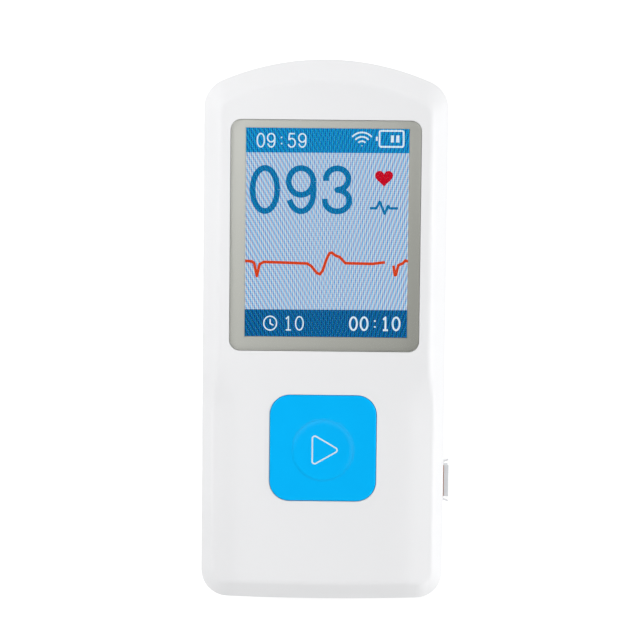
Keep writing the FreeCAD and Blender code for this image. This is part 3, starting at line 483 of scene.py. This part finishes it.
tray_moulding = Finish("tray_moulding", (0.82, 0.82, 0.80), 0.5)
tray_grain = tray_moulding.noise(0.6 * MM, 3.0)
tray_moulding.vary(
    Base_Color=tray_moulding.blend(tray_grain, (0.78, 0.78, 0.76), (0.85, 0.85, 0.83)),
    Roughness=0.42 + 0.2 * tray_grain)
tray_moulding.on("backlight_frame", "display_bracket")

RIBBON_PITCH, RIBBON_TRACK = 0.5 * MM, 0.02 * MM
amber_film = Finish("amber_film", (0.55, 0.25, 0.05), 0.3)
tracks = (amber_film.axes()["X"] / RIBBON_PITCH).wave().held(0.55, 0.65)
amber_film.vary(Base_Color=amber_film.blend(tracks, (0.50, 0.20, 0.035), (0.66, 0.32, 0.08)))
amber_film.relief(tracks, RIBBON_TRACK)
amber_film.on("display_cable")

ivory_moulding = Finish("ivory_moulding", (0.80, 0.76, 0.62), 0.45)
ivory_cloud = ivory_moulding.noise(1.5 * MM, 3.0)
ivory_moulding.vary(
    Base_Color=ivory_moulding.blend(ivory_cloud, (0.76, 0.71, 0.56), (0.84, 0.80, 0.68)),
    Roughness=0.4 + 0.15 * ivory_cloud)
ivory_moulding.on("cable_socket", "battery_plug")


# ---- Start key ----
# A soft-touch key moulded in sky blue, with a shallow dish for the thumb inside a fine step. A clear coat on
# the far, upper-right arc of the step is a painted highlight where the lamps catch the rim. A white play
# mark is printed in the dish, and the key's flange runs in the ring inside the cover.

KEY_BLUE = srgb(0, 186, 255)
KEY_DEEP = srgb(0, 180, 250)
blue_moulding = Finish("blue_moulding", KEY_BLUE, 0.42, Specular_IOR_Level=0.05)
key_cloud = blue_moulding.noise(5 * MM, 3.0)
key_grain = blue_moulding.noise(0.18 * MM, 2.0)
blue_moulding.vary(
    Base_Color=blue_moulding.blend(key_cloud, KEY_DEEP, KEY_BLUE),
    Roughness=0.36 + 0.1 * key_cloud + 0.06 * key_grain)

DISH_DIAMETER, DISH_DEPTH, DISH_SHIFT = 11.4 * MM, 0.25 * MM, 0.35 * MM
STEP_WIDTH, STEP_HEIGHT = 0.25 * MM, 0.16 * MM
# The painted highlight on the rim: its inset from the step, width, coat, and the span where it rises to the
# far side.
HIGHLIGHT_INSET, HIGHLIGHT_WIDTH, HIGHLIGHT_COAT = 0.25 * MM, 0.8 * MM, 0.36
HIGHLIGHT_FROM, HIGHLIGHT_FULL = -0.35 * DISH_DIAMETER, 0.25 * DISH_DIAMETER
key_low, key_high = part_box("key_cap")
dish_ball = (DISH_DIAMETER ** 2 / 4 + DISH_DEPTH ** 2) / (2 * DISH_DEPTH)
dish_middle = Vector(((key_low[0] + key_high[0]) / 2, (key_low[1] + key_high[1]) / 2 - DISH_SHIFT,
                      key_high[2] - DISH_DEPTH))
key_axes = blue_moulding.axes()
out = ((key_axes["X"] - dish_middle.x) ** 2 + (key_axes["Y"] - dish_middle.y) ** 2) ** 0.5
inside_step = 1 - out.held(DISH_DIAMETER / 2 - STEP_WIDTH, DISH_DIAMETER / 2 + STEP_WIDTH)
blue_moulding.relief(inside_step + 0.05 * key_grain, STEP_HEIGHT)
# Painted highlight: clear coat on the rim's far, upper-right arc, the side that faces the lamps.
rim_highlight = 1 - (out - (DISH_DIAMETER / 2 - HIGHLIGHT_INSET)).size().held(0.0, HIGHLIGHT_WIDTH)
far_side = (key_axes["X"] * 0.5 + key_axes["Y"] - dish_middle.y).held(HIGHLIGHT_FROM, HIGHLIGHT_FULL)
blue_moulding.vary(Coat_Weight=HIGHLIGHT_COAT * rim_highlight * far_side)
blue_moulding.on("key_cap")

MARK_BACK, MARK_TIP, MARK_HALF = -1.97 * MM, 3.10 * MM, 2.92 * MM
MARK_ROUND, MARK_PEN, MARK_PROUD = 0.45 * MM, 0.27 * MM, 0.012 * MM
MARK_RUN = 0.5 * MM


def rounded_triangle(corners, radius, steps=6):
    """A closed path with each corner swept round."""
    path = []
    for before, corner, after in zip(corners[-1:] + corners[:-1], corners, corners[1:] + corners[:1]):
        back, ahead = (before - corner).normalized(), (after - corner).normalized()
        half_angle = back.angle(ahead) / 2
        middle = corner + (back + ahead).normalized() * (radius / math.sin(half_angle))
        touch_in = corner + back * (radius / math.tan(half_angle)) - middle
        touch_out = corner + ahead * (radius / math.tan(half_angle)) - middle
        for step in range(steps + 1):
            path.append(middle + touch_in.lerp(touch_out, step / steps).normalized() * radius)
    return path


def play_mark():
    """The printed triangle, as a thin closed ribbon that lies in the dish."""
    corners = [Vector((MARK_BACK, MARK_HALF)), Vector((MARK_TIP, 0.0)), Vector((MARK_BACK, -MARK_HALF))]
    path = rounded_triangle(corners, MARK_ROUND)
    runs = []
    for start, end in zip(path, path[1:] + path[:1]):
        pieces = max(1, round((end - start).length / MARK_RUN))
        runs += [start.lerp(end, piece / pieces) for piece in range(pieces)]
    mesh = bmesh.new()
    edges = []
    for before, here, after in zip(runs[-1:] + runs[:-1], runs, runs[1:] + runs[:1]):
        along = (after - before).normalized()
        side = Vector((along.y, -along.x)) * MARK_PEN / 2
        pair = []
        for spot in (here - side, here + side):
            rise = dish_ball - math.sqrt(dish_ball ** 2 - spot.length_squared)
            pair.append(mesh.verts.new(dish_middle + Vector((spot.x, spot.y, rise + MARK_PROUD))))
        edges.append(pair)
    for (a, b), (c, d) in zip(edges, edges[1:] + edges[:1]):
        mesh.faces.new((a, c, d, b))
    bmesh.ops.recalc_face_normals(mesh, faces=mesh.faces)
    return mesh


white_print = Finish("white_print", (0.66, 0.78, 0.84), 0.5)
print_grain = white_print.noise(0.1 * MM, 1.0)
white_print.vary(Base_Color=white_print.blend(print_grain, (0.58, 0.72, 0.79), (0.72, 0.83, 0.88)))
fitted("play_mark", play_mark(), white_print, "key")


# ---- Switch, chips and radio ----
# Black epoxy and nylon mouldings on the board: the switch's body and button, and the chips, whose
# tops are blasted matt. The radio's can and the switch's plate are tinned sheet steel.

black_moulding = Finish("black_moulding", (0.025, 0.025, 0.027), 0.5)
black_grain = black_moulding.noise(0.08 * MM, 2.0)
black_moulding.vary(
    Base_Color=black_moulding.blend(black_grain, (0.018, 0.018, 0.02), (0.04, 0.04, 0.042)),
    Roughness=0.45 + 0.2 * black_grain)
black_moulding.relief(black_grain, 0.008 * MM)
black_moulding.on(
    "switch_base", "switch_plunger", "processor", "heart_amplifier", "charge_chip", "socket_tongue")


def sheet_steel(name, colour, roughness, line_size, stretch):
    """Rolled or brushed sheet: fine lines along one direction, in colour, gloss and relief."""
    steel = Finish(name, colour, roughness, Metallic=1.0)
    lines = steel.noise(line_size, 3.0, stretch)
    tone = steel.noise(line_size * 25, 2.0)
    pale = tuple(min(1.0, 1.08 * level) for level in colour)
    deep = tuple(0.86 * level for level in colour)
    steel.vary(
        Base_Color=steel.blend(0.6 * lines + 0.4 * tone, deep, pale),
        Roughness=roughness - 0.06 + 0.12 * lines)
    steel.relief(lines, 0.006 * MM, 0.6)
    return steel


tinned = sheet_steel("tinned_sheet", (0.78, 0.79, 0.80), 0.28, 0.15 * MM, (1.0, 0.15, 1.0))
tinned.on("switch_cover", "radio_can")


# ---- Charging socket ----
# A folded shell of tinned steel whose four flared lips stand just out of the side wall. A strip of tape on
# its top is coloured warm brown as painted shade of the gap where the shell meets the wall, and five gilt
# contacts line the black tongue inside. The sprung contacts of the electrodes have the same gilding.

socket_steel = sheet_steel("socket_steel", (0.66, 0.67, 0.69), 0.3, 0.12 * MM, (1.0, 0.2, 1.0))
socket_steel.on("socket_shell")

# Painted shade: the tape's warm brown stands for the shadowed gap at the socket's mouth.
gap_shadow_tape = Finish("gap_shadow_tape", (0.36, 0.12, 0.015), 0.25, Specular_IOR_Level=0.2)
tape_cloud = gap_shadow_tape.noise(0.8 * MM, 2.0)
gap_shadow_tape.vary(
    Base_Color=gap_shadow_tape.blend(tape_cloud, (0.30, 0.09, 0.01), (0.42, 0.15, 0.02)),
    Roughness=0.2 + 0.12 * tape_cloud)
gap_shadow_tape.on("socket_tape")

gilt = sheet_steel("gilt_spring", (0.85, 0.62, 0.27), 0.22, 0.1 * MM, (0.2, 1.0, 1.0))
gilt.on("socket_contacts", "back_pin", "right_spring", "left_spring")


# ---- Circuit boards ----
# Green-lacquered laminate. Copper tracks show through the lacquer as slightly paler, raised lines
# that run square to the edges, and the glass cloth gives a faint weave.

THREAD_PITCH, TRACK_SCALE, TRACK_HEIGHT = 0.4 * MM, 260.0, 0.03 * MM
green_laminate = Finish("green_laminate", (0.012, 0.14, 0.055), 0.3)
board_axes = green_laminate.axes()
warp = (board_axes["X"] / THREAD_PITCH).wave()
weft = (board_axes["Y"] / THREAD_PITCH).wave()
weave = warp * weft
copper = green_laminate.add("ShaderNodeTexBrick", {"offset": 0.35, "squash": 1.6}, {
    "Vector": green_laminate.place(), "Scale": TRACK_SCALE, "Mortar Size": 0.05})["Fac"]
green_laminate.vary(
    Base_Color=green_laminate.blend(0.7 * copper + 0.15 * weave, (0.008, 0.11, 0.045), (0.03, 0.26, 0.10)),
    Roughness=0.25 + 0.15 * weave)
green_laminate.relief(copper, TRACK_HEIGHT)
green_laminate.on("main_board", "radio_board")


# ---- Electrodes ----
# Brushed stainless plates: one flush in each long side for the fingers, and a wide one in the
# back. The brush lines run along each plate.

STAINLESS = (0.56, 0.555, 0.545)
side_steel = sheet_steel("electrode_steel", STAINLESS, 0.34, 0.14 * MM, (1.0, 0.06, 1.0))
side_steel.on("right_electrode", "left_electrode")
back_steel = sheet_steel("back_electrode_steel", STAINLESS, 0.34, 0.14 * MM, (0.06, 1.0, 1.0))
back_steel.on("back_electrode")


# ---- Battery and its leads ----
# A pouch cell in satin aluminium laminate, slightly wrinkled, on a strip of foam. Two silicone
# leads, red and black, run from its end to the plug under the board.

WRINKLE_SIZE, WRINKLE_HEIGHT = 3 * MM, 0.15 * MM
pouch_foil = Finish("pouch_foil", (0.72, 0.73, 0.75), 0.35, Metallic=0.9)
wrinkle = pouch_foil.noise(WRINKLE_SIZE, 4.0, (1.0, 0.5, 1.0))
pouch_foil.vary(
    Base_Color=pouch_foil.blend(wrinkle, (0.64, 0.65, 0.67), (0.80, 0.81, 0.83)),
    Roughness=0.28 + 0.2 * wrinkle)
pouch_foil.relief(wrinkle, WRINKLE_HEIGHT)
pouch_foil.on("battery")


def wire_sleeve(name, colour):
    """Silicone with a little dust on it."""
    sleeve = Finish(name, colour, 0.45)
    dust = sleeve.noise(0.7 * MM, 3.0)
    dusty = tuple(0.85 * level + 0.02 for level in colour)
    sleeve.vary(
        Base_Color=sleeve.blend(dust, colour, dusty),
        Roughness=0.4 + 0.2 * dust)
    return sleeve


wire_sleeve("red_sleeve", (0.55, 0.02, 0.02)).on("battery_lead_red")
wire_sleeve("black_sleeve", (0.02, 0.02, 0.02)).on("battery_lead_black")


# ---- Case screws ----
# Four small zinc-plated pan-head screws with a cross recess. They sit in the stepped holes of the
# back cover and bite into the front cover's bosses. Each stopped at its own turn.

HEAD_DIAMETER, HEAD_HEIGHT, HEAD_DOME, HEAD_SEAT = 3.8 * MM, 1.2 * MM, 0.5 * MM, 1.8 * MM
SHANK_DIAMETER, SHANK_END, TIP_RADIUS = 2.0 * MM, 12.2 * MM, 0.3 * MM
PITCH, THREAD_ROOT, THREAD_CREST, NECK = 0.6 * MM, 0.16 * MM, 0.02 * MM, 0.1 * MM
CROSS_LENGTH, CROSS_WIDTH, CROSS_DEPTH = 2.2 * MM, 0.5 * MM, 0.7 * MM
CROSS_TAPER = (0.45, 0.7)
HIGH_SIDE, HIGH_END, LOW_SIDE, LOW_END = 8.5 * MM, 7.4 * MM, 6.5 * MM, 8.2 * MM
SCREW_TURN, SCREW_FACETS = math.radians(25), 28


def turned(profile, steps):
    """A mesh made by turning a side view of radii and heights round the upright axis."""
    mesh = bmesh.new()
    rings = []
    for radius, height in profile:
        rings.append([mesh.verts.new((radius * math.cos(turn), radius * math.sin(turn), height))
                      for turn in (math.tau * step / steps for step in range(steps))])
    for lower, upper in zip(rings, rings[1:]):
        for place in range(steps):
            after = (place + 1) % steps
            mesh.faces.new((lower[place], lower[after], upper[after], upper[place]))
    mesh.faces.new(list(reversed(rings[0])))
    mesh.faces.new(rings[-1])
    return mesh


def case_screw():
    """Head down: the domed head at the bottom, the threaded shank above it."""
    face = HEAD_SEAT - HEAD_HEIGHT
    head, shank = HEAD_DIAMETER / 2, SHANK_DIAMETER / 2
    dome = [(head * math.cos(turn), face + HEAD_DOME * (1 - math.sin(turn)))
            for turn in (math.radians(angle) for angle in (80, 60, 40, 20, 0))]
    threads = []
    height = HEAD_SEAT + 2 * PITCH
    while height < SHANK_END - PITCH:
        threads += [(shank - THREAD_ROOT, height), (shank - THREAD_CREST, height + PITCH / 2)]
        height += PITCH
    seat = [(head, HEAD_SEAT), (shank - NECK, HEAD_SEAT)]
    tip = [(TIP_RADIUS, SHANK_END)]
    return mesh_data("case_screw", turned(dome + seat + threads + tip, SCREW_FACETS))


def cross_wedge(turn):
    """One of the two crossed wedges that the driver's cross is cut with."""
    mesh = bmesh.new()
    bmesh.ops.create_cube(mesh, size=1.0)
    for corner in mesh.verts:
        deep = corner.co.z > 0
        corner.co.x *= CROSS_LENGTH * (CROSS_TAPER[0] if deep else 1.0)
        corner.co.y *= CROSS_WIDTH * (CROSS_TAPER[1] if deep else 1.0)
        corner.co.z = HEAD_SEAT - HEAD_HEIGHT + (CROSS_DEPTH if deep else -1 * MM)
    bmesh.ops.recalc_face_normals(mesh, faces=mesh.faces)
    bmesh.ops.rotate(mesh, verts=mesh.verts, cent=(0, 0, 0), matrix=Matrix.Rotation(turn, 3, "Z"))
    return placed("cross_wedge", mesh_data("cross_wedge", mesh))


def cut_cross(screw):
    """Cuts the driver's cross out of the head."""
    for turn in (0.0, math.pi / 2):
        wedge = cross_wedge(turn)
        cut = screw.modifiers.new("cross", "BOOLEAN")
        cut.operation, cut.solver, cut.object = "DIFFERENCE", "EXACT", wedge
        bpy.context.view_layer.update()
        cut_screw = screw.evaluated_get(bpy.context.evaluated_depsgraph_get())
        cut_data = bpy.data.meshes.new_from_object(cut_screw)
        screw.modifiers.remove(cut)
        screw.data = cut_data
        bpy.data.objects.remove(wedge)


zinc = sheet_steel("zinc_plate", (0.70, 0.71, 0.73), 0.3, 0.2 * MM, (1.0, 1.0, 1.0))
first_screw = placed("case_screw_1", case_screw())
cut_cross(first_screw)
first_screw.data.materials.clear()
first_screw.data.materials.append(zinc.material)
more_screws = [placed("case_screw_%d" % count, first_screw.data) for count in (2, 3, 4)]
back_low, back_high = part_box("back_cover")
high_place = (back_high[0] - HIGH_SIDE, back_high[1] - HIGH_END)
low_place = (back_high[0] - LOW_SIDE, back_low[1] + LOW_END)
screw_places = [(side * x, y, 0) for x, y in (high_place, low_place) for side in (1, -1)]
for count, (screw, spot) in enumerate(zip([first_screw] + more_screws, screw_places), 1):
    screw.location = spot
    screw.rotation_euler[2] = SCREW_TURN * count
    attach(screw, "housing")


# ---- Floor, lights and camera ----
# A white sweep under soft boxes: a near one on the left, a strong one on the right, and fills
# before, behind and overhead. The camera looks almost straight down.

FLOOR_SIZE, FLOOR_DROP = 6.0, 0.02 * MM
NEAR_GLOW, GLOW_FROM, GLOW_FULL = 0.48, 0.3, 1.2
WORLD_FILL = 0.28


def in_view(shading):
    """1 where the camera sees a thing straight, in a mirror or through glass, and 0 for its light."""
    ray = shading.add("ShaderNodeLightPath", {}, {})
    return ray["Is Camera Ray"] + ray["Is Glossy Ray"] + ray["Is Transmission Ray"]


floor_corners = [(x * FLOOR_SIZE, y * FLOOR_SIZE, -FLOOR_DROP)
                 for x, y in ((-1, -1), (1, -1), (1, 1), (-1, 1))]
floor_data = bpy.data.meshes.new("floor")
floor_data.from_pydata(floor_corners, [], [(0, 1, 2, 3)])
floor = placed("floor", floor_data)
floor_finish = Finish("floor_white", (0.7, 0.7, 0.7), 0.9, Specular_IOR_Level=0.0, Emission_Strength=1.0)
floor_axes = floor_finish.axes()
from_middle = (floor_axes["X"] ** 2 + floor_axes["Y"] ** 2) ** 0.5
glow = NEAR_GLOW + (1.0 - NEAR_GLOW) * from_middle.held(GLOW_FROM, GLOW_FULL)
floor_finish.vary(Emission_Color=glow * in_view(floor_finish))
floor_data.materials.append(floor_finish.material)

world = bpy.data.worlds.new("studio")
bpy.context.scene.world = world
world.use_nodes = True
studio = Shading(world.node_tree)
studio.set(studio.nodes["Background"], {
    "Color": (1.0, 1.0, 1.0), "Strength": WORLD_FILL + (1.0 - WORLD_FILL) * in_view(studio)})

AIM_HEIGHT = 10 * MM


def soft_box(name, place, size, energy):
    """A square lamp aimed at the middle of the object."""
    lamp = bpy.data.lights.new(name, "AREA")
    lamp.size, lamp.energy = size, energy
    box = placed(name, lamp)
    box.location = place
    box.rotation_euler = (Vector((0, 0, AIM_HEIGHT)) - Vector(place)).to_track_quat("-Z", "Y").to_euler()


soft_box("left_box", (-0.22, 0.09, 0.2), 0.22, 0.5)
soft_box("overhead_box", (0.0, 0.0, 1.0), 1.0, 0.3)
soft_box("right_box", (0.9, 0.0, 0.12), 0.5, 7.4)
soft_box("far_box", (0.0, 0.9, 0.12), 0.5, 3.05)
soft_box("near_box", (0.0, -0.7, 0.6), 0.8, 3.3)

VIEW_TILT, VIEW_ROLL = math.radians(4.2), math.radians(0.6)
VIEW_DISTANCE, VIEW_SPAN = 0.38, 118.6 * MM
VIEW_MIDDLE = Vector((-0.79 * MM, 2.36 * MM, 14 * MM))
camera = placed("camera", bpy.data.cameras.new("camera"))
camera.data.lens = camera.data.sensor_width * VIEW_DISTANCE / VIEW_SPAN
tilted = Matrix.Rotation(-VIEW_TILT, 4, "X") @ Matrix.Rotation(VIEW_ROLL, 4, "Z")
camera.matrix_world = Matrix.Translation(VIEW_MIDDLE) @ tilted @ Matrix.Translation((0, 0, VIEW_DISTANCE))
bpy.context.scene.camera = camera
bpy.context.scene.view_settings.view_transform = "Standard"
